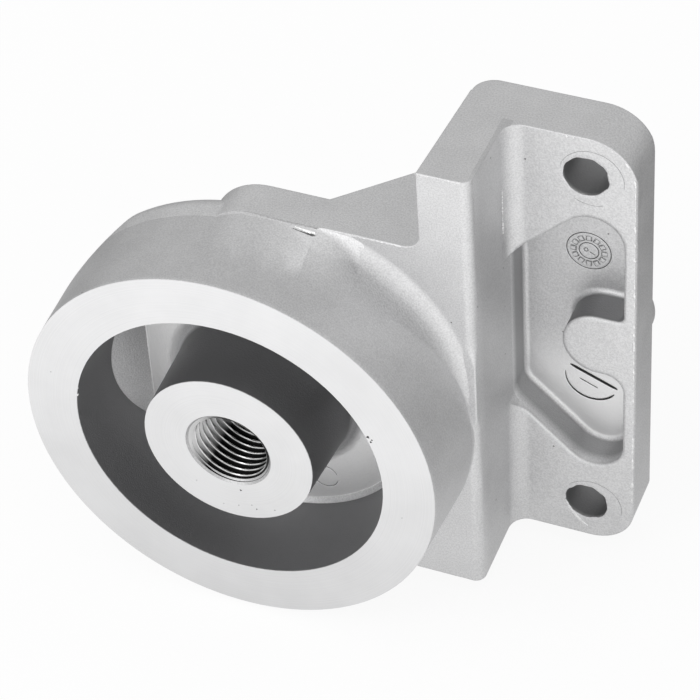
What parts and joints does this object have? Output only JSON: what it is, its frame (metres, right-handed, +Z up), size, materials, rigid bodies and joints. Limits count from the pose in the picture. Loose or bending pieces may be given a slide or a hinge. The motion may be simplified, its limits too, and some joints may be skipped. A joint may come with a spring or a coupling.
{
  "type": "fuel filter head",
  "caption": "Die-cast fuel filter head: a round cup with a machined sealing rim and a threaded centre boss, joined by an arm to an upright mounting plate with a pocket.",
  "frame": {"origin": "centre of the filter's sealing face, on the axis of the filter thread", "axes": "-Y out of the cup towards the filter, +Y towards the surface the plate bolts to, +X from the cup to the mounting plate, +Z up"},
  "size_m": [0.1056, 0.0486, 0.1008],
  "materials": {
    "casting": "as cast, matt grey",
    "machined_face": "turned, bright and smooth"
  },
  "bodies": {
    "root": {"filter_head": "casting"}
  },
  "joints": []
}
